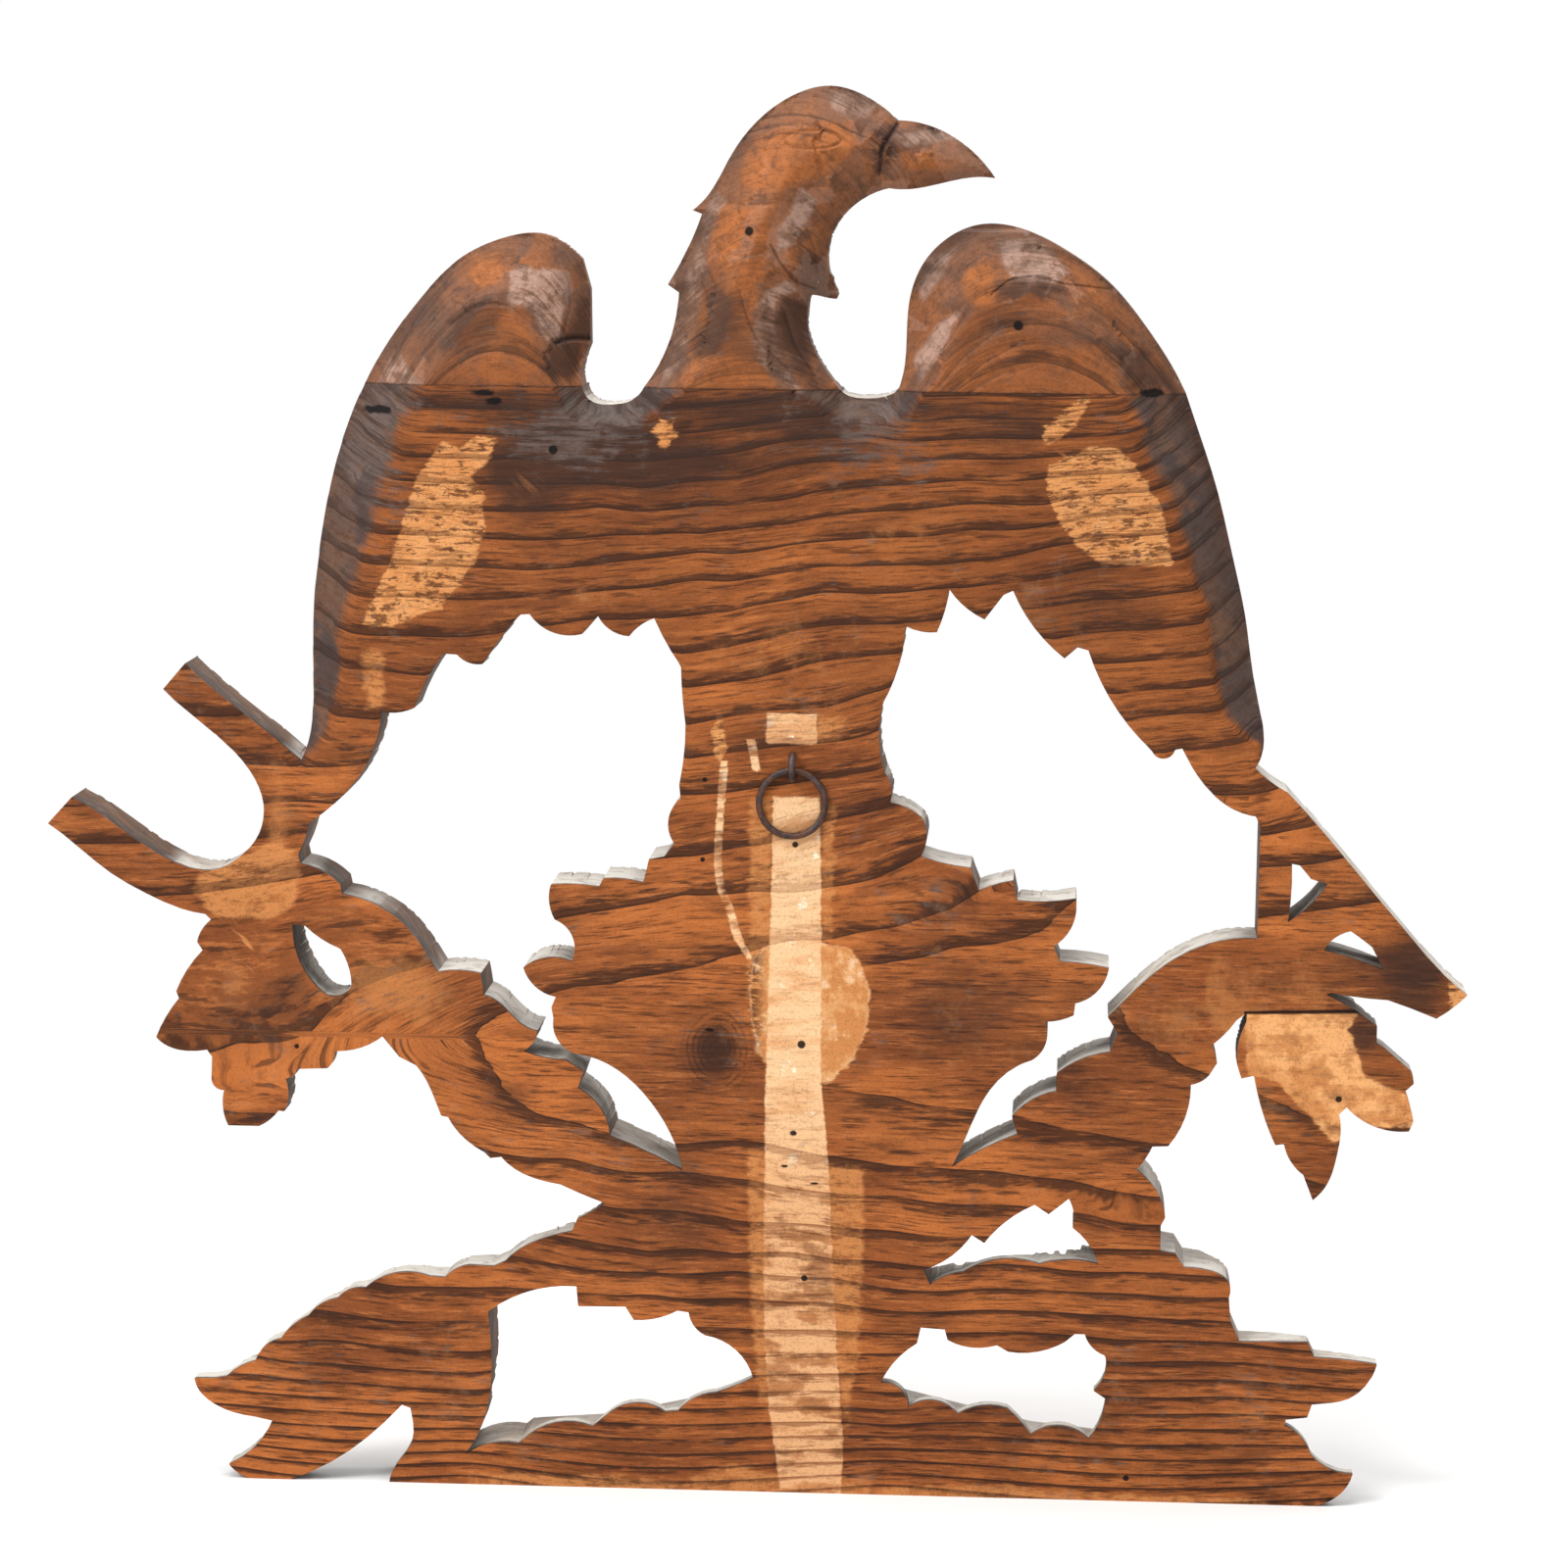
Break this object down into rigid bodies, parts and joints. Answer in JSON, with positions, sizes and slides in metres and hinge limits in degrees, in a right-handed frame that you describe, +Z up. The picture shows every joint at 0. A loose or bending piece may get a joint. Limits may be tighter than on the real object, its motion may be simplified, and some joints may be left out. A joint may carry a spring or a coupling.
{
  "type": "carved wooden eagle",
  "caption": "Fretted wooden eagle with raised wings on leafy branches over a flat base, carved front, flat back with an iron ring in a staple.",
  "frame": {"origin": "centre of the bounding box, on the plane of the flat base", "axes": "+Z up, carved front faces -Y, flat back with the ring faces +Y, the eagle's own left wing on +X"},
  "size_m": [0.65, 0.0602, 0.646],
  "materials": {
    "pine": "old bare softwood, oiled dark",
    "dowel": "plain turned wood",
    "iron": "dull, rusted"
  },
  "bodies": {
    "eagle": {"main_board": "pine", "head_and_neck": "pine", "left_wing_top": "pine", "right_wing_top": "pine", "leaf_cluster": "pine", "dowel_left_wing_1": "dowel", "dowel_left_wing_2": "dowel", "dowel_neck_1": "dowel", "dowel_neck_2": "dowel", "dowel_right_wing_1": "dowel", "dowel_right_wing_2": "dowel", "ring_staple": "iron"},
    "ring": {"hanging_ring": "iron"}
  },
  "joints": [
    {"name": "ring_swing", "type": "hinge", "parent": "eagle", "child": "ring", "pos_m": [-0.01723, 0.0217, 0.33703], "axis": [1, 0, 0], "range_deg": [0, 170]}
  ]
}
